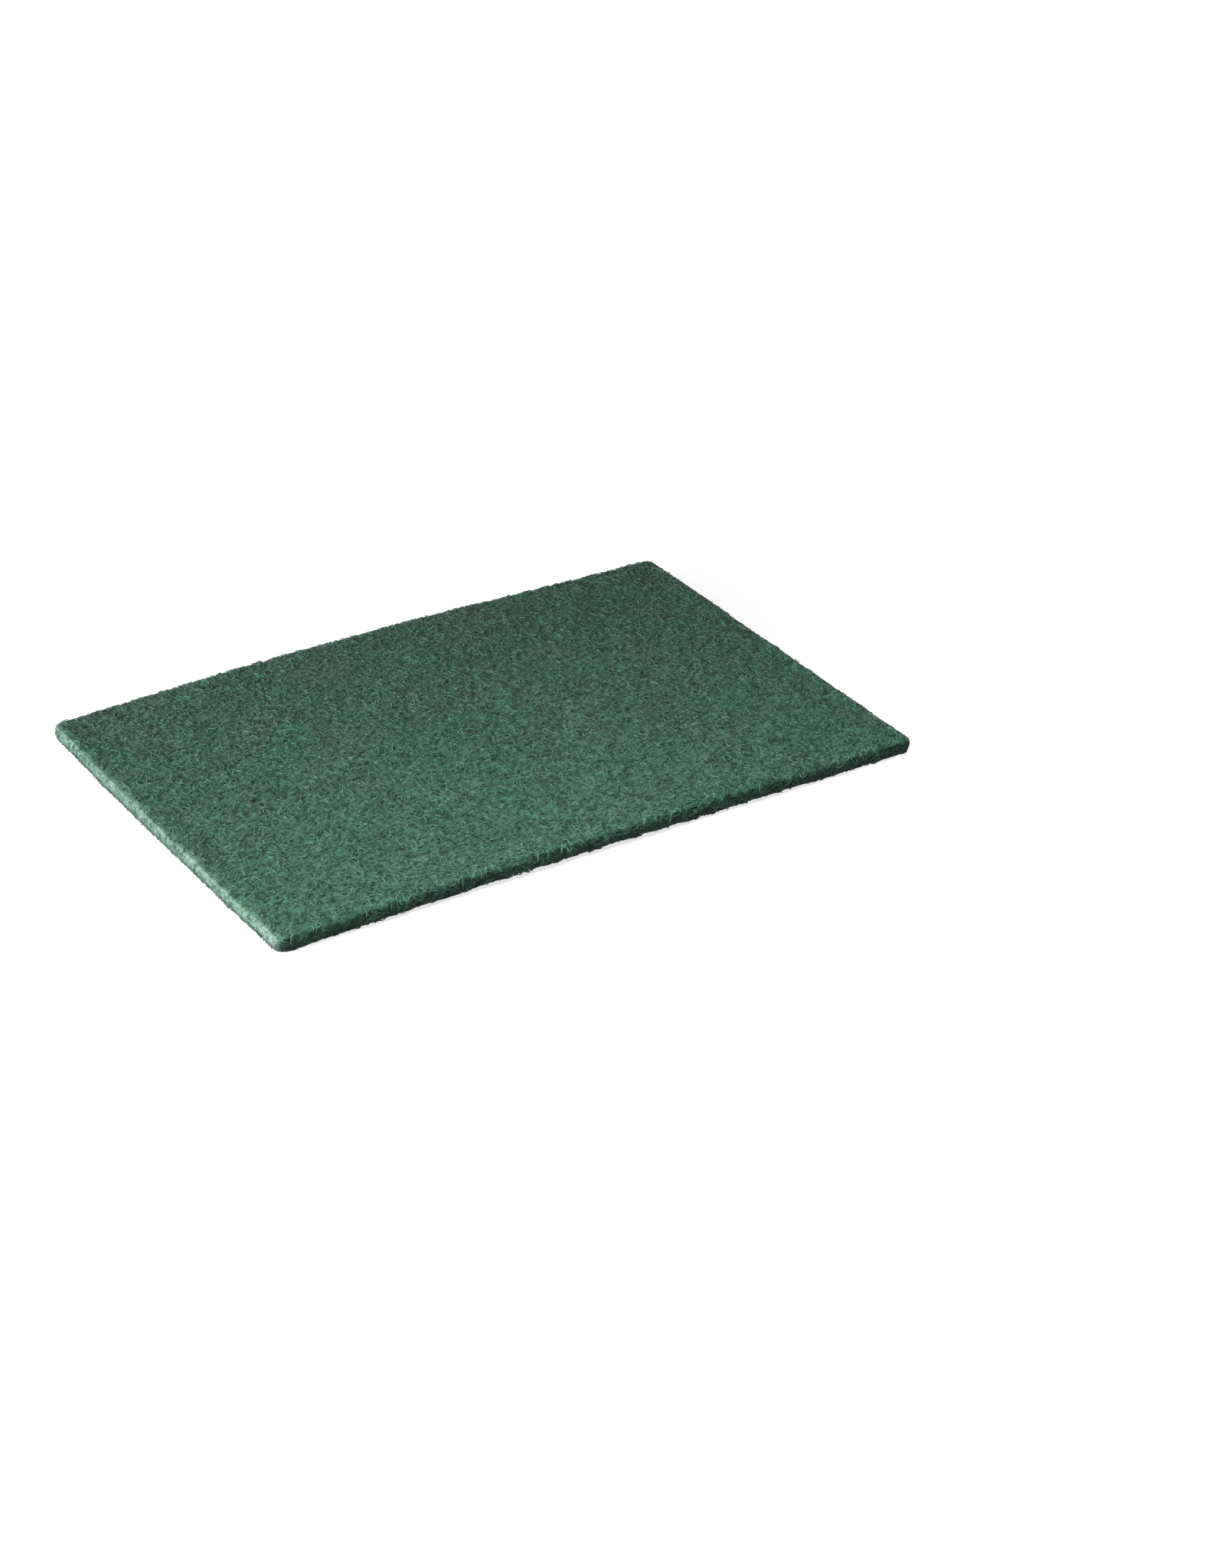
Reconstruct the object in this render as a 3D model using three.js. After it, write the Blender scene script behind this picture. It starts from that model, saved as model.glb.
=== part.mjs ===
// Nylon scouring pad: one rectangular sheet of resin-bonded non-woven nylon web, lying on a flat surface.
// Millimetres. X runs along the length, Y towards the back edge and Z up.
// The origin is the middle of the bottom face of the pad's bounding box.
import * as THREE from "three";
import { mergeVertices } from "three/addons/utils/BufferGeometryUtils.js";

// Driving dimensions
const padLength = 228.6;
const padWidth = 152.4;
const padThickness = 6;
const cornerRadius = 3.6; // of the four corners, seen from above
const rimRadius = 2.2; // of the soft edge where a face meets a cut side
const backArchHeight = 2.2; // how far the middle of the back edge stands off the surface
const frontArchHeight = 1; // the same for the front edge
const archPeakShare = 0.44; // where the arch is highest, from its left foot, as a share of its span
const archPower = 1.4; // above 1 the arch leaves its feet gently
const footStrip = 9; // width of the strip along each short end that lies flat on the surface
const leftEndBulge = 0.7; // how far the middle of the left end bows outwards
const cutWander = 0.4; // greatest in-and-out wander of the cut sides
const cutWanderPitch = 9; // distance from one wander to the next
const lumpHeight = 0.45; // greatest height of the web's lumps on either face
const lumpPitch = 8; // distance from one lump to the next
const gridPitch = 5.5; // spacing of the surface points away from the rim

const halfLength = padLength / 2;
const halfWidth = padWidth / 2;
const halfThickness = padThickness / 2;
const rimFitShare = 0.95; // of half the thickness, or of the corner radius, that the soft edge may take
const rimDepth = Math.min(rimRadius, rimFitShare * halfThickness, rimFitShare * cornerRadius);

// A repeatable value from 0 to 1 for each cell of an endless square pattern.
function cellValue(column, row) {
  const scattered = Math.sin(column * 127.1 + row * 311.7) * 43758.5453;
  return scattered - Math.floor(scattered);
}

// Smooth hills and hollows from 0 to 1, one to each cell of the given pitch.
function hills(x, y, pitch) {
  const column = Math.floor(x / pitch);
  const row = Math.floor(y / pitch);
  const across = THREE.MathUtils.smoothstep(x / pitch - column, 0, 1);
  const up = THREE.MathUtils.smoothstep(y / pitch - row, 0, 1);
  const near = THREE.MathUtils.lerp(cellValue(column, row), cellValue(column + 1, row), across);
  const far = THREE.MathUtils.lerp(cellValue(column, row + 1), cellValue(column + 1, row + 1), across);
  return THREE.MathUtils.lerp(near, far, up);
}

// Places of the surface points along one side: the given distances in from both rims, and even steps between them.
function stations(side, rim) {
  const margin = rim[rim.length - 1];
  const inner = side - 2 * margin;
  const cells = Math.round(inner / gridPitch);
  const middle = [];
  for (let i = 1; i < cells; i++) {
    middle.push(margin + (inner * i) / cells);
  }
  const farRim = rim.map((distance) => side - distance).reverse();
  return [...rim, ...middle, ...farRim].map((place) => place - side / 2);
}

// A point outside a square corner's two inner lines is drawn in onto an arc about the point where they cross.
function rounded(first, second) {
  if (first <= 0 || second <= 0) {
    return [first, second];
  }
  const share = Math.max(first, second) / Math.hypot(first, second);
  return [first * share, second * share];
}

// Rise of the pad off the surface: an arch along the length, higher at the back edge than at the front.
function archRise(x, y) {
  const span = padLength - 2 * footStrip;
  const along = THREE.MathUtils.clamp((x + span / 2) / span, 0, 1);
  const skew = Math.log(0.5) / Math.log(archPeakShare);
  const profile = Math.sin(Math.PI * along ** skew) ** archPower;
  const height = THREE.MathUtils.mapLinear(y, -halfWidth, halfWidth, frontArchHeight, backArchHeight);
  return height * Math.max(profile, 0);
}

// Moves one point of the square-edged slab to its place on the real pad.
function shapePoint(point) {
  // Corners seen from above
  const overX = Math.abs(point.x) - (halfLength - cornerRadius);
  const overY = Math.abs(point.y) - (halfWidth - cornerRadius);
  const [cornerX, cornerY] = rounded(overX, overY);
  const outward = new THREE.Vector2(Math.max(cornerX, 0), Math.max(cornerY, 0));
  outward.multiply({ x: Math.sign(point.x), y: Math.sign(point.y) });
  const rimShare = outward.length() / cornerRadius; // 1 on the cut side, 0 a corner radius inside it
  outward.normalize();

  // Soft edge in section
  const overSide = Math.max(overX, overY) - (cornerRadius - rimDepth);
  const overFace = Math.abs(point.z) - (halfThickness - rimDepth);
  const [sectionSide, sectionFace] = rounded(overSide, overFace);
  const drawnIn = overSide - sectionSide;

  // Wander of the cut, different at each height
  const wander = (hills(point.x + 2 * point.z, point.y - 3 * point.z, cutWanderPitch) - 0.5) * cutWander;
  const shift = wander * rimShare - drawnIn;

  const x = Math.sign(point.x) * (halfLength - cornerRadius + cornerX) + outward.x * shift;
  const y = Math.sign(point.y) * (halfWidth - cornerRadius + cornerY) + outward.y * shift;
  const z = Math.sign(point.z) * (halfThickness - rimDepth + sectionFace);

  // Lumps rise above the upper face and press up into the lower one, apart from the flat foot strips
  const footInner = halfLength - footStrip;
  const offFeet = 1 - THREE.MathUtils.smoothstep(Math.abs(x), footInner - gridPitch, footInner);
  const topShare = (point.z + halfThickness) / padThickness;
  const lumpTop = (hills(x, y, lumpPitch) - 0.5) * lumpHeight * topShare;
  const lumpBottom = hills(y, x, lumpPitch) * lumpHeight * offFeet * (1 - topShare);

  const bulge = x < 0 ? leftEndBulge * (x / halfLength) * (1 - (y / halfWidth) ** 2) : 0;
  point.set(x + bulge, y, z + halfThickness + lumpTop + lumpBottom + archRise(x, y));
}

function buildPadGeometry() {
  const rim = [0, rimDepth / 2, rimDepth, cornerRadius];
  const xs = stations(padLength, [...rim, footStrip]);
  const ys = stations(padWidth, rim);
  const rimLevels = [halfThickness - rimDepth, halfThickness - rimDepth / 2, halfThickness];
  const zs = [...rimLevels.map((level) => -level).reverse(), 0, ...rimLevels];
  const [columns, rows, layers] = [xs, ys, zs].map((places) => places.length - 1);
  const box = new THREE.BoxGeometry(columns, rows, layers, columns, rows, layers);
  box.deleteAttribute("normal");
  box.deleteAttribute("uv");
  const geometry = mergeVertices(box);

  const position = geometry.getAttribute("position");
  const point = new THREE.Vector3();
  for (let i = 0; i < position.count; i++) {
    point.fromBufferAttribute(position, i);
    point.set(
      xs[Math.round(point.x + columns / 2)],
      ys[Math.round(point.y + rows / 2)],
      zs[Math.round(point.z + layers / 2)],
    );
    shapePoint(point);
    position.setXYZ(i, point.x, point.y, point.z);
  }

  geometry.computeBoundingBox();
  const { min, max } = geometry.boundingBox;
  geometry.translate(-(min.x + max.x) / 2, -(min.y + max.y) / 2, -min.z);
  geometry.computeVertexNormals();
  return geometry;
}

const webMaterial = new THREE.MeshStandardMaterial({
  color: 0x3f5f51, // dark sage green
  roughness: 0.95,
  metalness: 0,
});

const pad = new THREE.Mesh(buildPadGeometry(), webMaterial);
pad.name = "scouring_pad";

const scouringPad = new THREE.Group();
scouringPad.name = "nylon_scouring_pad";
scouringPad.add(pad);

export default scouringPad;
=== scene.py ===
import math

import bpy
import numpy as np
from mathutils import Matrix, Vector
from mathutils.bvhtree import BVHTree


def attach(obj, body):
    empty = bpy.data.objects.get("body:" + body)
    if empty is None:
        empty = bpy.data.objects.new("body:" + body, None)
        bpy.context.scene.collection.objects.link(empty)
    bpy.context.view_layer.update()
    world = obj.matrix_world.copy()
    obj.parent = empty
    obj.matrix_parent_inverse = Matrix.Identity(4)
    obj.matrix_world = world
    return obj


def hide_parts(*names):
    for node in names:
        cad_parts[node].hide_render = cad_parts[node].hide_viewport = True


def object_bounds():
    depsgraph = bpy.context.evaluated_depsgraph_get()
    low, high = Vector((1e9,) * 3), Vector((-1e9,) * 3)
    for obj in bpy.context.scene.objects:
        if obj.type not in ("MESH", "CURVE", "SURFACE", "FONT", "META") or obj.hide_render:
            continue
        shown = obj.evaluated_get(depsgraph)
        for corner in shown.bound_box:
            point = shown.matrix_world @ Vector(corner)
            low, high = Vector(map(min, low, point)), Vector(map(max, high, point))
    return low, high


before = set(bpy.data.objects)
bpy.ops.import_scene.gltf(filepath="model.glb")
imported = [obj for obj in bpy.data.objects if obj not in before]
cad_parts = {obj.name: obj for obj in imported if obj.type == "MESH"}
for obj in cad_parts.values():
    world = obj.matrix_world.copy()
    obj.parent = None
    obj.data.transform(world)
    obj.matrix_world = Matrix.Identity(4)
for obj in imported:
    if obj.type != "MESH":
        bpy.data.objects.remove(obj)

# Metres throughout, in the pad's own frame: X along its length, Y to its back edge, Z up.
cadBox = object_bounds()
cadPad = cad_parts["scouring_pad"]


def deselectAll():
    if bpy.context.object and bpy.context.object.mode != "OBJECT":
        bpy.ops.object.mode_set(mode="OBJECT")
    bpy.ops.object.select_all(action="DESELECT")


def makeActive(piece):
    deselectAll()
    piece.select_set(True)
    bpy.context.view_layer.objects.active = piece


def applyModifiers(piece):
    makeActive(piece)
    for modifier in list(piece.modifiers):
        bpy.ops.object.modifier_apply(modifier=modifier.name)


def vertexPlaces(piece):
    places = np.empty(len(piece.data.vertices) * 3, np.float32)
    piece.data.vertices.foreach_get("co", places)
    return places.reshape(-1, 3).astype(float)


def vertexNormals(piece):
    normals = np.empty(len(piece.data.vertices) * 3, np.float32)
    piece.data.vertex_normals.foreach_get("vector", normals)
    return normals.reshape(-1, 3).astype(float)


def writeAttribute(piece, name, values):
    attribute = piece.data.attributes.new(name, "FLOAT", "POINT")
    attribute.data.foreach_set("value", np.asarray(values, np.float32))


def finishPiece(piece, material):
    piece.data.materials.clear()
    piece.data.materials.append(material)
    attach(piece, "root")


# The camera stands at the front left and looks down on the pad.
cameraView = {
    "azimuth": -33.46,        # degrees, 0 looks along +Y
    "elevation": 29.91,
    "roll": 0.97,
    "distance": 1.0864,
    "target": (0.02245, -0.04178, 0.0),
    "focalPixels": 4541.0,    # in the 1600 by 2048 frame
    "framePixels": 2048.0,
    "sensorWidth": 36.0,      # millimetres
    "clipStart": 0.01,
}


def makeCamera(view):
    azimuth = math.radians(view["azimuth"])
    elevation = math.radians(view["elevation"])
    back = Vector((
        math.sin(azimuth) * math.cos(elevation),
        -math.cos(azimuth) * math.cos(elevation),
        math.sin(elevation),
    ))
    camera = bpy.data.objects.new("camera", bpy.data.cameras.new("camera"))
    bpy.context.scene.collection.objects.link(camera)
    camera.data.sensor_width = view["sensorWidth"]
    camera.data.lens = view["sensorWidth"] * view["focalPixels"] / view["framePixels"]
    camera.data.clip_start = view["clipStart"]
    right = Vector((0, 0, 1)).cross(back).normalized()
    up = back.cross(right)
    turn = Matrix((right, up, back)).transposed() @ Matrix.Rotation(math.radians(view["roll"]), 3, "Z")
    place = Vector(view["target"]) + back * view["distance"]
    camera.matrix_world = Matrix.Translation(place) @ turn.to_4x4()
    bpy.context.scene.camera = camera


makeCamera(cameraView)
print("camera made")


# A softbox hangs over the front of the pad, and a low one stands to the left and lights the left end.
studioLight = {
    "softboxes": {
        "overhead": {
            "place": (-0.07, -0.14, 0.17),
            "aim": (-0.07, -0.05, 0),
            "size": (0.42, 0.06),
            "power": 0.80,
        },
        "left_low": {
            "place": (-0.95, 0.03, 0.19),
            "aim": (-0.1, 0, 0),
            "size": (0.6, 0.26),
            "power": 19.0,
        },
    },
    "worldColour": (0.92, 0.96, 1.0),
    "worldStrength": 0.05,
    "backdropStrength": 1.0,  # what the camera and reflections see round the table
}


def seenOrMirrored(nodes, links):
    # 1 for the rays of the camera, of reflections and of glass, 0 for those that light the pad.
    path = nodes.new("ShaderNodeLightPath")
    seen = path.outputs["Is Camera Ray"]
    for ray in ("Is Glossy Ray", "Is Transmission Ray"):
        either = nodes.new("ShaderNodeMath")
        either.operation = "MAXIMUM"
        links.new(seen, either.inputs[0])
        links.new(path.outputs[ray], either.inputs[1])
        seen = either.outputs[0]
    return seen


def lightStudio(values):
    for name, box in values["softboxes"].items():
        light = bpy.data.objects.new(name, bpy.data.lights.new(name, "AREA"))
        bpy.context.scene.collection.objects.link(light)
        light.data.shape = "RECTANGLE"
        light.data.size, light.data.size_y = box["size"]
        light.data.energy = box["power"]
        light.location = box["place"]
        ahead = Vector(box["aim"]) - Vector(box["place"])
        light.rotation_euler = ahead.to_track_quat("-Z", "Y").to_euler()
        light.visible_camera = False
    world = bpy.data.worlds.new("studio")
    bpy.context.scene.world = world
    world.use_nodes = True
    nodes, links = world.node_tree.nodes, world.node_tree.links
    ambient = nodes["Background"]
    ambient.inputs["Color"].default_value = (*values["worldColour"], 1)
    ambient.inputs["Strength"].default_value = values["worldStrength"]
    backdrop = nodes.new("ShaderNodeBackground")
    backdrop.inputs["Color"].default_value = (1, 1, 1, 1)
    backdrop.inputs["Strength"].default_value = values["backdropStrength"]
    mix = nodes.new("ShaderNodeMixShader")
    links.new(seenOrMirrored(nodes, links), mix.inputs[0])
    links.new(ambient.outputs[0], mix.inputs[1])
    links.new(backdrop.outputs[0], mix.inputs[2])
    links.new(mix.outputs[0], nodes["World Output"].inputs["Surface"])


lightStudio(studioLight)


# A white table that keeps the pad's shadow. The camera sees it lifted to white, fully so away from the pad.
tableTop = {
    "radius": 3.0,
    "corners": 64,
    "drop": 0.00002,          # keeps its face off the pad's flat underside
    "shadeColour": 0.42,
    "bounceColour": 0.05,
    "liftNear": 0.74,
    "liftFar": 1.0,
    "nearRadius": 0.10,
    "farRadius": 0.21,
}


def makeGrey(level):
    return (level, level, level, 1)


def makeTable(values):
    deselectAll()
    place = (0, 0, -values["drop"])
    bpy.ops.mesh.primitive_circle_add(
        vertices=values["corners"], radius=values["radius"], fill_type="NGON", location=place)
    table = bpy.context.object
    table.name = "table_top"
    material = bpy.data.materials.new("white_table")
    material.use_nodes = True
    nodes, links = material.node_tree.nodes, material.node_tree.links
    nodes.clear()
    coordinates = nodes.new("ShaderNodeTexCoord")
    fromPad = nodes.new("ShaderNodeVectorMath")
    fromPad.operation = "LENGTH"
    links.new(coordinates.outputs["Object"], fromPad.inputs[0])
    lifting = nodes.new("ShaderNodeMapRange")
    lifting.interpolation_type = "SMOOTHSTEP"
    lifting.inputs["From Min"].default_value = values["nearRadius"]
    lifting.inputs["From Max"].default_value = values["farRadius"]
    lifting.inputs["To Min"].default_value = values["liftNear"]
    lifting.inputs["To Max"].default_value = values["liftFar"]
    links.new(fromPad.outputs["Value"], lifting.inputs["Value"])
    bounce = nodes.new("ShaderNodeBsdfDiffuse")
    bounce.inputs["Color"].default_value = makeGrey(values["bounceColour"])
    shade = nodes.new("ShaderNodeBsdfDiffuse")
    shade.inputs["Color"].default_value = makeGrey(values["shadeColour"])
    lift = nodes.new("ShaderNodeEmission")
    links.new(lifting.outputs["Result"], lift.inputs["Strength"])
    lifted = nodes.new("ShaderNodeAddShader")
    links.new(shade.outputs[0], lifted.inputs[0])
    links.new(lift.outputs[0], lifted.inputs[1])
    mix = nodes.new("ShaderNodeMixShader")
    links.new(seenOrMirrored(nodes, links), mix.inputs[0])
    links.new(bounce.outputs[0], mix.inputs[1])
    links.new(lifted.outputs[0], mix.inputs[2])
    output = nodes.new("ShaderNodeOutputMaterial")
    links.new(mix.outputs[0], output.inputs["Surface"])
    table.data.materials.append(material)


makeTable(tableTop)
print("table and lights set")


# The mat: the thick of the web, with its lumps and pits, just inside the skin of strands.
webMat = {
    "weld": 1e-6,
    "voxel": 0.00092,         # grid of the mat's surface
    "lumpSize": 0.0030,       # broad lumps of the web
    "lumpDepth": 0.00025,
    "lumpLevel": 0.5,         # tone of the noise that leaves the surface where it is
    "pitSize": 0.0010,        # pits between the strands
    "pitDepth": 0.0006,
    "pitLevel": 0.7,
    "drawnIn": 0.00015,       # the mat's peaks lie this far inside the skin
    "notchSize": 0.0035,      # where the knife tore bits out of the cut sides
    "notchDepth": 0.0016,
    "notchLevel": 0.7,
    "endRelief": 0.15,        # share of the lumps and pits on the two cut ends
    "longRelief": 1.4,        # the same on the long cut sides
    "endNotches": 0.1,
    "frontNotches": 0.9,
    "backNotches": 0.25,
    "longSideShade": 1.8,     # painted shade: the mat on the long cut sides is darkened as if in shadow
    "endTurn": (0.35, 0.6),   # how far a normal turns to an end where its painted pale colour starts and is full
    "endLitAndShadedBands": (4.0, 6.1),   # painted light and shade: tone of the lower, shaded half and the upper, lit half of a cut end, on the scale of the mat's painted tone
    "bandHeight": 0.0031,
    "bandRelief": 0.3,        # share of the lumps' and pits' painted shade on a cut end
    "steep": 0.5,             # rise of a normal under which a face at the rim belongs to a cut side
    "rim": 0.0024,
    "faceShare": 0.45,        # of the bake map's height, for the top and for the underside each
}


def addDisplace(piece, name, size, strength, midLevel, depth):
    texture = bpy.data.textures.new(name, "CLOUDS")
    texture.noise_scale = size
    texture.noise_depth = depth
    modifier = piece.modifiers.new(name, "DISPLACE")
    modifier.texture = texture
    modifier.texture_coords = "LOCAL"
    modifier.strength = strength
    modifier.mid_level = midLevel


def makeMat(values):
    mat = bpy.data.objects.new("web_mat", cadPad.data.copy())
    bpy.context.scene.collection.objects.link(mat)
    makeActive(mat)
    bpy.ops.object.mode_set(mode="EDIT")
    bpy.ops.mesh.select_all(action="SELECT")
    bpy.ops.mesh.remove_doubles(threshold=values["weld"])
    bpy.ops.object.mode_set(mode="OBJECT")
    remesh = mat.modifiers.new("even_grid", "REMESH")
    remesh.mode = "VOXEL"
    remesh.voxel_size = values["voxel"]
    applyModifiers(mat)
    smooth = vertexPlaces(mat)
    normals = vertexNormals(mat)
    addDisplace(mat, "lumps", values["lumpSize"], values["lumpDepth"], values["lumpLevel"], 1)
    addDisplace(mat, "pits", values["pitSize"], values["pitDepth"], values["pitLevel"], 1)
    applyModifiers(mat)
    depth = np.einsum("ij,ij->i", vertexPlaces(mat) - smooth, normals)
    addDisplace(mat, "notches", values["notchSize"], values["notchDepth"], values["notchLevel"], 0)
    mat.data.vertices.foreach_set("co", smooth.astype(np.float32).ravel())
    applyModifiers(mat)
    notch = np.einsum("ij,ij->i", vertexPlaces(mat) - smooth, normals)
    onEnd, onLong = normals[:, 0] ** 2, normals[:, 1] ** 2
    longNotches = np.where(normals[:, 1] < 0, values["frontNotches"], values["backNotches"])
    notch *= values["endNotches"] * onEnd + longNotches * onLong
    base = smooth + normals * notch[:, None]
    relief = 1 + (values["endRelief"] - 1) * onEnd + (values["longRelief"] - 1) * onLong
    places = base + normals * (depth * relief - values["drawnIn"])[:, None]
    places[:, 2] = np.maximum(places[:, 2], 0)
    mat.data.vertices.foreach_set("co", places.astype(np.float32).ravel())
    # Painted shade: a tone that makes the mat darker where its pits go deep, and darker still on the long cut
    # sides.
    paintedLightAndShade = (depth - depth.mean()) / depth.std()
    paintedLightAndShade -= values["longSideShade"] * onLong
    # Painted light and shade on the cut ends: a paler upper band as if lit, a darker lower band as if shaded.
    endShare = np.interp(np.abs(normals[:, 0]) * (1 - onLong), values["endTurn"], (0, 1))
    shadedBand, litBand = values["endLitAndShadedBands"]
    endLightAndShade = np.where(places[:, 2] > values["bandHeight"], litBand, shadedBand)
    endLightAndShade = endLightAndShade + values["bandRelief"] * paintedLightAndShade
    writeAttribute(mat, "paintedLightAndShade", paintedLightAndShade * (1 - endShare) + endLightAndShade * endShare)
    bpy.ops.object.shade_smooth()
    print("mat", len(mat.data.polygons), "faces")
    return mat, BVHTree.FromPolygons(base.tolist(), [face.vertices[:] for face in mat.data.polygons])


def layBakeMap(mat, values):
    # The top, the underside and four strips for the cut sides, one above another on the bake map.
    mesh = mat.data
    loopPlaces = np.empty(len(mesh.loops), np.int32)
    mesh.loops.foreach_get("vertex_index", loopPlaces)
    sizes = np.empty(len(mesh.polygons), np.int32)
    mesh.polygons.foreach_get("loop_total", sizes)
    places = vertexPlaces(mat)[loopPlaces]
    normals = np.empty(len(mesh.polygons) * 3, np.float32)
    mesh.polygons.foreach_get("normal", normals)
    normals = normals.reshape(-1, 3)
    firsts = np.concatenate([[0], np.cumsum(sizes)[:-1]])
    centres = np.add.reduceat(places, firsts) / sizes[:, None]
    low, high = np.array(cadBox[0]), np.array(cadBox[1])
    toRim = high[:2] - np.abs(centres[:, :2])
    onEnd = toRim[:, 0] < toRim[:, 1]
    isSide = (toRim.min(1) < values["rim"]) & (np.abs(normals[:, 2]) < values["steep"])
    sideNumber = np.where(onEnd, 0, 2) + (np.where(onEnd, centres[:, 0], centres[:, 1]) > 0)
    share = (places - low) / (high - low)
    isSide, onEnd, sideNumber = (np.repeat(kind, sizes) for kind in (isSide, onEnd, sideNumber))
    isTop = np.repeat(normals[:, 2] > 0, sizes)
    face = values["faceShare"]
    sideRow = (1 - 2 * face) / 4
    across = np.where(isSide & onEnd, share[:, 1], share[:, 0])
    up = np.where(
        isSide, face + sideRow * (sideNumber + share[:, 2]),
        np.where(isTop, 1 - face, 0) + face * share[:, 1])
    bakeMap = mesh.uv_layers.new(name="OFBake")
    bakeMap.data.foreach_set("uv", np.clip(np.stack([across, up], 1), 0, 1).astype(np.float32).ravel())


# The skin: curly nylon strands, thin tubes with three sides, that wander over the faces and the cut sides.
strandShape = {
    "step": 0.0007,           # length of one straight bit of a strand
    "points": 6,
    "fewest": 4,              # points that a strand keeps, or it is left out
    "radius": 0.00019,
    "radiusSpread": 0.35,
    "nudge": 1e-6,            # gives the ring of an upright bit a direction
    "bend": 0.35,             # greatest steady turn at each step, radians
    "crimp": 0.7,             # turn to and fro of the crimp, radians
    "crimpSteps": (3.0, 6.0),
    "waveSteps": (4.0, 7.0),
    "mapShare": 0.8,          # of its square on the bake map that a strand fills
    "capMap": ((0.5, 0.2), (0.5, 0.5), (0.5, 0.8)),
}
castFrom = {                  # how far off the pad's middle a cast onto its surface starts
    "face": 0.05,
    "side": 0.3,
}
faceSkin = {
    "topStrands": 14000,
    "underStrands": 4800,
    "perPiece": 4900,
    "deepest": -0.00034,      # of a strand's level, from the pad's surface
    "highest": -0.00006,
    "wave": 0.00020,          # how far a strand dips and rises along its way
    "rimGap": 0.0003,         # strands end this far inside the cut sides
    "corner": 0.0036,
    "offEnd": 0.5,            # turn of a normal to an end where the faces' strands stop
    "rimHighlightTone": 1.1,           # painted highlight: strands at the rim are paler, up to this much on the scale of tones
    "rimHighlightWidth": 0.0045,
}
cutSides = {                  # each side's run and the way that it faces
    # The cut ends' strands are pale: partly the paler cut fibres, partly painted light from the lamp on the
    # left.
    "end": {
        "sides": [((0, 1, 0), (-1, 0, 0)), ((0, 1, 0), (1, 0, 0))],
        "material": "lit_pale_cut_nylon",
        "seed": 3,
        "perMetre": 3600,
        "tones": {"lower": 0.0, "upper": 0.62, "scatter": 0.15},
    },
    # The long cut sides' strands take painted shade: they are dark as if in shadow.
    "long": {
        "sides": [((1, 0, 0), (0, -1, 0)), ((1, 0, 0), (0, 1, 0))],
        "material": "shaded_cut_nylon",
        "seed": 4,
        "perMetre": 1900,
        "tones": {"lower": 0.0, "upper": 0.25, "scatter": 0.6},
    },
}
halfwayUp = {                 # where the upper half of a cut side starts, above the underside near it
    "height": 0.003,
    "inward": 0.97,           # the underside is looked for this share of the way out
}
sideSkin = {
    "tilt": 0.5,              # of a strand's heading from level, radians
    "deepest": -0.0005,
    "highest": -0.00012,
    "wave": 0.00008,
    "facing": 0.5,            # a side's point is one whose normal points at least this much out of the side
}
looseFibres = {
    "perMetre": 40,
    "tilt": 0.9,
    "deepest": 0.0,
    "highest": 0.00025,
    "wave": 0.0001,
    "facing": 0.45,
}
cutEndShape = {
    "perMetre": 3900,
    "facing": 0.8,
    "lean": 0.5,
    "root": 0.0003,
    "proud": (0.00001, 0.00012),
}
resinBeads = {
    "top": 3600,
    "under": 1200,
    "radius": (0.00018, 0.00036),
    "stretch": (0.7, 1.3),
    "squash": 0.6,
    "sunk": (0.0, 0.00025),
    "rimGap": 0.0016,
    "tone": (0.0, 1.0),
    "seed": 37,
    "mapSize": (0.22, 0.44),  # a half's radii in its bead's square of the bake map
    "mapMiddle": (0.25, 0.5),
    "lowerShift": (0.5, 0.0),
}
seedShifts = {                # keep the random draws of the pieces and of their stages apart
    "piece": 10,
    "faceSweep": 100,
    "faceTones": 200,
    "looseFibres": 10,
    "cutEnds": 20,
    "sideSweep": 30,
    "sideTones": 40,
}


def strandPaths(starts, headings, skin, rng):
    # Flat wandering paths about the given starts, and each point's lift off the surface.
    count, points = len(starts), strandShape["points"]
    crimpSteps = rng.uniform(*strandShape["crimpSteps"], (count, 1))
    crimp = np.cos(2 * np.pi * (np.arange(points - 1) / crimpSteps + rng.uniform(0, 1, (count, 1))))
    bend = rng.uniform(-strandShape["bend"], strandShape["bend"], (count, 1))
    heading = headings[:, None] + np.cumsum(bend + strandShape["crimp"] * crimp, 1)
    heading -= heading.mean(1, keepdims=True) - headings[:, None]
    flat = np.zeros((count, points, 2))
    flat[:, 1:, 0] = np.cumsum(np.cos(heading), 1)
    flat[:, 1:, 1] = np.cumsum(np.sin(heading), 1)
    flat *= strandShape["step"]
    flat += starts[:, None, :] - flat.mean(1, keepdims=True)
    waveSteps = rng.uniform(*strandShape["waveSteps"], (count, 1))
    wave = np.sin(2 * np.pi * (np.arange(points) / waveSteps + rng.uniform(0, 1, (count, 1))))
    lift = rng.uniform(skin["deepest"], skin["highest"], (count, 1)) + skin["wave"] * wave
    return flat, lift


def longestRun(kept):
    # First and last place of the longest unbroken stretch of kept points.
    edges = np.flatnonzero(np.diff(np.concatenate([[0], kept.astype(int), [0]])))
    starts, ends = edges[::2], edges[1::2]
    if not len(starts):
        return 0, 0
    best = (ends - starts).argmax()
    return starts[best], ends[best]


def firstRun(points):
    # The first stretch of points without a gap, if one is long enough for a strand.
    path = []
    for point in points:
        if point is not None:
            path.append(point)
        elif len(path) >= strandShape["fewest"]:
            break
        else:
            path = []
    return path if len(path) >= strandShape["fewest"] else []


def castAtFace(surface, side, x, y):
    # The point of the top (side 1) or of the underside (side -1) at a place, with its normal.
    return surface.ray_cast(Vector((x, y, castFrom["face"] * side)), Vector((0, 0, -side)))[:2]


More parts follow.
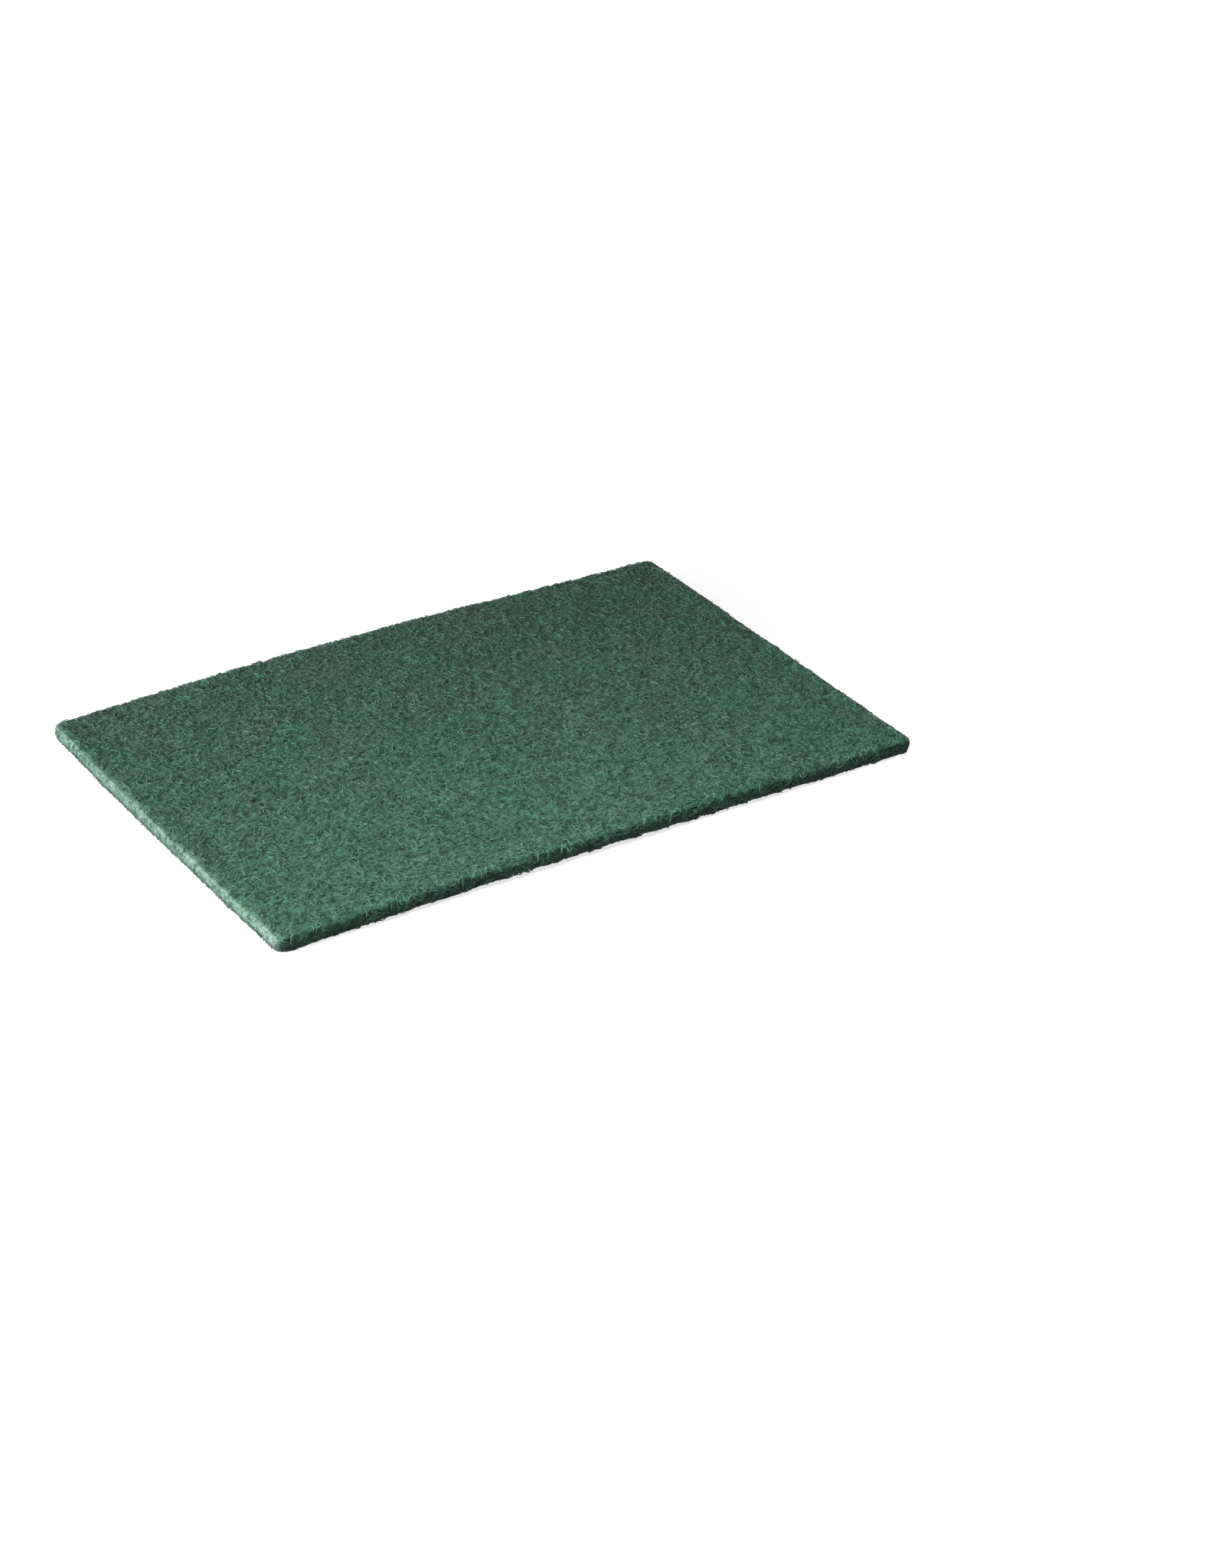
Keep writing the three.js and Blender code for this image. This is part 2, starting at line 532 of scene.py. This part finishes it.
def faceStrands(surface, side, count, skin, seed):
    rng = np.random.default_rng(seed)
    half = np.array(cadBox[1][:2])
    starts = rng.uniform(-half, half, (count, 2))
    flat, lift = strandPaths(starts, rng.uniform(0, 2 * np.pi, count), skin, rng)
    reach = np.maximum(np.abs(flat) - (half - skin["corner"]), 0)
    inside = np.hypot(reach[..., 0], reach[..., 1]) < skin["corner"] - skin["rimGap"]
    paths = []
    for place, rise, kept in zip(flat, lift, inside):
        first, end = longestRun(kept)
        points = []
        for (x, y), up in zip(place[first:end], rise[first:end]):
            hit, normal = castAtFace(surface, side, x, y)
            onFace = hit is not None and abs(normal.x) < skin["offEnd"]
            points.append((x, y, hit.z + side * up) if onFace else None)
        paths.append(firstRun(points))
    return [path for path in paths if path]


def castAtSide(surface, side, s, z, facing):
    # The point of a cut side at a place along it and a height, with its normal, if one is there.
    along, outward = Vector(side[0]), Vector(side[1])
    start = along * s + outward * castFrom["side"] + Vector((0, 0, z))
    hit, normal = surface.ray_cast(start, -outward)[:2]
    if hit is None or normal.dot(outward) < facing:
        return None, None
    return hit, normal


def sideStrands(surface, sides, perMetre, skin, seed):
    # Strands that lie along the cut sides, mostly level.
    rng = np.random.default_rng(seed)
    halfLength, halfWidth, top = cadBox[1]
    paths = []
    for side in sides:
        half = halfLength if side[0][0] else halfWidth
        count = int(perMetre * 2 * half)
        starts = np.stack([rng.uniform(-half, half, count), rng.uniform(0, top, count)], 1)
        headings = rng.uniform(-skin["tilt"], skin["tilt"], count) + np.pi * rng.integers(0, 2, count)
        flat, lift = strandPaths(starts, headings, skin, rng)
        for place, rise in zip(flat, lift):
            points = []
            for (s, z), up in zip(place, rise):
                hit, normal = castAtSide(surface, side, s, z, skin["facing"])
                points.append(None if hit is None else tuple(hit + normal * up))
            paths.append(firstRun(points))
    return [path for path in paths if path]


def cutEnds(surface, sides, values, seed):
    # Short ends of strands that the knife left standing on the cut sides.
    rng = np.random.default_rng(seed)
    halfLength, halfWidth, top = cadBox[1]
    paths = []
    for side in sides:
        half = halfLength if side[0][0] else halfWidth
        count = int(values["perMetre"] * 2 * half)
        for s, z in rng.uniform((-half, 0), (half, top), (count, 2)):
            hit, normal = castAtSide(surface, side, s, z, values["facing"])
            if hit is None:
                continue
            ahead = (normal + Vector(rng.normal(0, values["lean"], 3))).normalized()
            path = [hit - ahead * values["root"], hit + ahead * rng.uniform(*values["proud"])]
            if min(point.z for point in path) > 0:
                paths.append([tuple(point) for point in path])
    return paths


def middles(paths):
    return np.array([np.mean([tuple(point) for point in path], 0) for path in paths])


def paintedLightByHeight(paths, surface, values, seed):
    # Painted light and shade: the upper half of a cut side is paler, as if lit, than the lower one, as if
    # shaded.
    rng = np.random.default_rng(seed)
    inward = halfwayUp["inward"]
    tones = []
    for x, y, z in middles(paths):
        underside = castAtFace(surface, -1, inward * x, inward * y)[0]
        tones.append(values["upper"] if z - underside.z > halfwayUp["height"] else values["lower"])
    return np.array(tones) + rng.uniform(0, values["scatter"], len(paths))


def tonesWithRimHighlight(paths, skin, seed):
    # Painted highlight: strands near the rim get paler tones.
    rng = np.random.default_rng(seed)
    toRim = (np.array(cadBox[1][:2]) - np.abs(middles(paths)[:, :2])).min(1)
    return rng.uniform(0, 1, len(paths)) + skin["rimHighlightTone"] * np.clip(1 - toRim / skin["rimHighlightWidth"], 0, 1)


def scatterBeads(name, surface, values):
    # Beads of resin and grit on the top and the underside: one small ball, copied, squashed and half sunk.
    deselectAll()
    bpy.ops.mesh.primitive_ico_sphere_add(subdivisions=1, radius=1)
    ball = bpy.context.object
    corners = vertexPlaces(ball)
    faces = np.array([face.vertices[:] for face in ball.data.polygons])
    bpy.data.objects.remove(ball)
    rng = np.random.default_rng(values["seed"])
    half = np.array(cadBox[1][:2]) - values["rimGap"]
    sides = rng.permutation([1] * values["top"] + [-1] * values["under"])
    places = []
    for side in sides:
        x, y = rng.uniform(-half, half)
        hit = castAtFace(surface, side, x, y)[0]
        places.append((x, y, hit.z - side * rng.uniform(*values["sunk"])))
    radii = rng.uniform(*values["radius"], (len(sides), 1, 1))
    radii = radii * rng.uniform(*values["stretch"], (len(sides), 1, 3))
    radii[..., 2] *= values["squash"]
    turn = rng.uniform(0, 2 * np.pi, len(sides))
    cosine, sine = np.cos(turn)[:, None], np.sin(turn)[:, None]
    shaped = corners[None] * radii
    turned = shaped.copy()
    turned[..., 0] = shaped[..., 0] * cosine - shaped[..., 1] * sine
    turned[..., 1] = shaped[..., 0] * sine + shaped[..., 1] * cosine
    points = (turned + np.array(places)[:, None]).reshape(-1, 3)
    points[:, 2] = np.maximum(points[:, 2], 0)
    triangles = (faces[None] + np.arange(len(sides))[:, None, None] * len(corners)).reshape(-1, 3)
    mesh = bpy.data.meshes.new(name)
    mesh.from_pydata(points.tolist(), [], triangles.tolist())
    # Each bead has a square of the bake map: its upper half to the left, its lower half to the right.
    lower = corners[faces].mean(1)[:, 2] < 0
    spots = corners[faces][..., :2] * values["mapSize"] + values["mapMiddle"]
    spots = spots + np.outer(lower, values["lowerShift"])[:, None]
    across = math.ceil(math.sqrt(len(sides)))
    cell = np.stack([np.arange(len(sides)) % across, np.arange(len(sides)) // across], 1)
    bakeMap = mesh.uv_layers.new(name="OFBake")
    mapped = (cell[:, None, None] + spots[None]) / across
    bakeMap.data.foreach_set("uv", mapped.astype(np.float32).ravel())
    beads = bpy.data.objects.new(name, mesh)
    bpy.context.scene.collection.objects.link(beads)
    writeAttribute(beads, "strandTone", np.repeat(rng.uniform(*values["tone"], len(sides)), len(corners)))
    makeActive(beads)
    bpy.ops.object.shade_smooth()
    print(name, len(sides), "beads,", len(triangles), "triangles")
    return beads


def sweepStrands(name, paths, tones, seed):
    # One mesh of closed three-sided tubes along the paths, each with a strip of its own on the bake map.
    rng = np.random.default_rng(seed)
    lengths = np.array([len(path) for path in paths])
    places = np.concatenate([np.array(path) for path in paths])
    first = np.concatenate([[0], np.cumsum(lengths)[:-1]])
    last = first + lengths - 1
    index = np.arange(len(places))
    before, after = np.maximum(index - 1, 0), np.minimum(index + 1, len(places) - 1)
    before[first], after[last] = first, last
    ahead = places[after] - places[before]
    ahead /= np.linalg.norm(ahead, axis=1, keepdims=True)
    level = np.cross(ahead, [0.0, 0.0, 1.0]) + [strandShape["nudge"], 0, 0]
    level /= np.linalg.norm(level, axis=1, keepdims=True)
    upright = np.cross(level, ahead)
    radius = strandShape["radius"] * (1 + strandShape["radiusSpread"] * rng.uniform(-1, 1, len(paths)))
    turn = np.repeat(rng.uniform(0, 2 * np.pi, len(paths)), lengths)
    angles = turn[:, None] + np.arange(3) * 2 * np.pi / 3
    ring = np.cos(angles)[..., None] * level[:, None] + np.sin(angles)[..., None] * upright[:, None]
    corners = (places[:, None] + np.repeat(radius, lengths)[:, None, None] * ring).reshape(-1, 3)
    lowest = np.repeat(np.minimum.reduceat(corners[:, 2], first * 3), lengths * 3)
    corners[:, 2] += np.maximum(-lowest, 0)
    starts = np.delete(index, last) * 3
    walls = [starts[:, None] + np.array([i, (i + 1) % 3, 3 + (i + 1) % 3, 3 + i]) for i in range(3)]
    ends = [first[:, None] * 3 + [2, 1, 0], last[:, None] * 3 + [0, 1, 2]]
    mesh = bpy.data.meshes.new(name)
    mesh.from_pydata(corners.tolist(), [], np.concatenate(walls).tolist() + np.concatenate(ends).tolist())
    strands = bpy.data.objects.new(name, mesh)
    bpy.context.scene.collection.objects.link(strands)
    writeAttribute(strands, "strandTone", np.repeat(tones, lengths * 3))
    strip = np.repeat(np.arange(len(paths)), lengths - 1)
    along = (starts // 3 - first[strip]) / (lengths[strip] - 1)
    onward = along + 1 / (lengths[strip] - 1)
    spots = []
    for i in range(3):
        rows = np.full((4, len(starts)), i / 3) + [[0], [1 / 3], [1 / 3], [0]]
        wallMap = np.stack([[along, along, onward, onward], rows], -1)
        spots.append(wallMap.transpose(1, 0, 2).reshape(-1, 2))
    spots.append(np.tile(strandShape["capMap"], (2 * len(paths), 1)))
    owners = [np.repeat(strip, 4)] * 3 + [np.repeat(np.tile(np.arange(len(paths)), 2), 3)]
    across = math.ceil(math.sqrt(len(paths)))
    owner = np.concatenate(owners)
    cell = np.stack([owner % across, owner // across], 1)
    bakeMap = mesh.uv_layers.new(name="OFBake")
    spread = strandShape["mapShare"]
    mapped = (cell + (1 - spread) / 2 + spread * np.concatenate(spots)) / across
    bakeMap.data.foreach_set("uv", mapped.astype(np.float32).ravel())
    makeActive(strands)
    bpy.ops.object.shade_smooth()
    mesh.calc_loop_triangles()
    print(name, len(paths), "strands,", len(mesh.loop_triangles), "triangles")
    return strands


# Green dyed nylon, greyer and paler on the strands. Painted shade makes the mat darker and greener deep in
# its pits.
webColours = {
    "deep": (0.004, 0.020, 0.012),
    "middle": (0.025, 0.079, 0.052),
    "peak": (0.044, 0.117, 0.080),
    "strandDark": (0.029, 0.090, 0.060),
    "strandMiddle": (0.041, 0.114, 0.078),
    "strandPale": (0.059, 0.145, 0.104),
    # Painted highlight: strands along the rim grow paler towards this colour.
    "rimHighlightColour": (0.092, 0.192, 0.148),
    # Cut ends: partly the paler cut fibres, partly painted light, the pale colours as if lit and the dark
    # ones as if shaded.
    "cutDark": (0.055, 0.086, 0.071),
    "cutMiddle": (0.086, 0.143, 0.116),
    "cutPale": (0.128, 0.214, 0.174),
    # Painted shade: the long cut sides' strands are dark as if in shadow.
    "sideDark": (0.010, 0.032, 0.022),
    "sideMiddle": (0.022, 0.066, 0.046),
    "sidePale": (0.050, 0.130, 0.092),
}
webTints = {
    "patches": {              # greener and greyer ones
        "size": 45.0,
        "detail": 3,
        "stops": [(0.35, (0.87, 1.02, 0.93)), (0.65, (1.07, 0.99, 1.02))],
    },
    "mottle": {               # thin and thick places of the web, some millimetres across
        "size": 260.0,
        "detail": 1,
        "stops": [(0.32, (0.80, 0.82, 0.82)), (0.68, (1.15, 1.13, 1.13))],
    },
    "specks": {               # uneven coats of resin and grit, about a millimetre across
        "size": 620.0,
        "detail": 1,
        "stops": [(0.34, (0.33, 0.46, 0.43)), (0.46, (0.98, 0.98, 0.98)), (0.66, (1.24, 1.20, 1.21))],
    },
}
webFinish = {
    "roughnessSpread": 0.15,
    "bumpHeight": 0.0006,
    "bumpStrength": 0.3,
    "specular": 0.16,
    "sheen": 0.08,
    "sheenRoughness": 0.5,
}
# Each material's attribute, the range of it that the colours run over, and the colours.
webMaterials = {
    "green_web_mat": {
        "attribute": "paintedLightAndShade",
        "range": (-2.2, 6.6),
        "stops": {0: "deep", 0.25: "middle", 0.5: "peak", 0.75: "cutDark", 1: "cutPale"},
        "roughness": 0.8,
    },
    "green_nylon_strand": {
        "attribute": "strandTone",
        "range": (0, 2),
        "stops": {0: "strandDark", 0.25: "strandMiddle", 0.5: "strandPale", 1: "rimHighlightColour"},
        "roughness": 0.75,
    },
    "shaded_cut_nylon": {
        "attribute": "strandTone",
        "range": (0, 1),
        "stops": {0: "sideDark", 0.5: "sideMiddle", 1: "sidePale"},
        "roughness": 0.8,
    },
    "lit_pale_cut_nylon": {
        "attribute": "strandTone",
        "range": (0, 1),
        "stops": {0: "cutDark", 0.5: "cutMiddle", 1: "cutPale"},
        "roughness": 0.75,
    },
}


def rampNode(nodes, stops):
    ramp = nodes.new("ShaderNodeValToRGB")
    elements = ramp.color_ramp.elements
    while len(elements) < len(stops):
        elements.new(0.5)
    for element, (position, colour) in zip(elements, stops):
        element.position = position
        element.color = (*colour, 1)
    return ramp


def noiseTint(nodes, links, vector, values):
    noise = nodes.new("ShaderNodeTexNoise")
    noise.inputs["Scale"].default_value = values["size"]
    noise.inputs["Detail"].default_value = values["detail"]
    links.new(vector, noise.inputs["Vector"])
    tint = rampNode(nodes, values["stops"])
    links.new(noise.outputs["Fac"], tint.inputs["Fac"])
    return noise.outputs["Fac"], tint.outputs["Color"]


def multiply(nodes, links, first, second):
    mix = nodes.new("ShaderNodeMix")
    mix.data_type = "RGBA"
    mix.blend_type = "MULTIPLY"
    mix.inputs["Factor"].default_value = 1
    links.new(first, mix.inputs["A"])
    links.new(second, mix.inputs["B"])
    return mix.outputs["Result"]


def webMaterial(name, values):
    material = bpy.data.materials.new(name)
    material.use_nodes = True
    nodes, links = material.node_tree.nodes, material.node_tree.links
    shader = nodes["Principled BSDF"]
    shader.inputs["Specular IOR Level"].default_value = webFinish["specular"]
    shader.inputs["Sheen Weight"].default_value = webFinish["sheen"]
    shader.inputs["Sheen Roughness"].default_value = webFinish["sheenRoughness"]
    tone = nodes.new("ShaderNodeAttribute")
    tone.attribute_name = values["attribute"]
    fit = nodes.new("ShaderNodeMapRange")
    fit.inputs["From Min"].default_value, fit.inputs["From Max"].default_value = values["range"]
    links.new(tone.outputs["Fac"], fit.inputs["Value"])
    ramp = rampNode(nodes, [(position, webColours[colour]) for position, colour in values["stops"].items()])
    links.new(fit.outputs["Result"], ramp.inputs["Fac"])
    place = nodes.new("ShaderNodeTexCoord").outputs["Object"]
    patchTint = noiseTint(nodes, links, place, webTints["patches"])[1]
    mottleTint = noiseTint(nodes, links, place, webTints["mottle"])[1]
    specks, speckTint = noiseTint(nodes, links, place, webTints["specks"])
    colour = ramp.outputs["Color"]
    for tint in (patchTint, mottleTint, speckTint):
        colour = multiply(nodes, links, colour, tint)
    links.new(colour, shader.inputs["Base Color"])
    grit = nodes.new("ShaderNodeMapRange")
    grit.inputs["To Min"].default_value = values["roughness"] - webFinish["roughnessSpread"]
    grit.inputs["To Max"].default_value = values["roughness"] + webFinish["roughnessSpread"]
    links.new(specks, grit.inputs["Value"])
    links.new(grit.outputs["Result"], shader.inputs["Roughness"])
    bump = nodes.new("ShaderNodeBump")
    bump.inputs["Distance"].default_value = webFinish["bumpHeight"]
    bump.inputs["Strength"].default_value = webFinish["bumpStrength"]
    links.new(specks, bump.inputs["Height"])
    links.new(bump.outputs["Normal"], shader.inputs["Normal"])
    return material


materials = {name: webMaterial(name, values) for name, values in webMaterials.items()}
print("materials made")

webMatPiece, surface = makeMat(webMat)
layBakeMap(webMatPiece, webMat)
finishPiece(webMatPiece, materials["green_web_mat"])
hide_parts("scouring_pad")

for face, side, count in [("top", 1, faceSkin["topStrands"]), ("under", -1, faceSkin["underStrands"])]:
    pieceCount = math.ceil(count / faceSkin["perPiece"])
    for number in range(pieceCount):
        seed = seedShifts["piece"] * (number + 1) + side
        paths = faceStrands(surface, side, count // pieceCount, faceSkin, seed)
        tones = tonesWithRimHighlight(paths, faceSkin, seed + seedShifts["faceTones"])
        strands = sweepStrands(f"{face}_strands_{number + 1}", paths, tones, seed + seedShifts["faceSweep"])
        finishPiece(strands, materials["green_nylon_strand"])
for sideName, cut in cutSides.items():
    seed = cut["seed"]
    looseSeed = seed + seedShifts["looseFibres"]
    for part, paths in [
        ("strands", sideStrands(surface, cut["sides"], cut["perMetre"], sideSkin, seed)),
        ("cut_ends", cutEnds(surface, cut["sides"], cutEndShape, seed + seedShifts["cutEnds"])),
        ("loose_fibres", sideStrands(surface, cut["sides"], looseFibres["perMetre"], looseFibres, looseSeed)),
    ]:
        tones = paintedLightByHeight(paths, surface, cut["tones"], seed + seedShifts["sideTones"])
        strands = sweepStrands(f"{sideName}_side_{part}", paths, tones, seed + seedShifts["sideSweep"])
        finishPiece(strands, materials[cut["material"]])
finishPiece(scatterBeads("resin_beads", surface, resinBeads), materials["green_nylon_strand"])
print("strands made")

bpy.context.scene.view_settings.view_transform = "Standard"
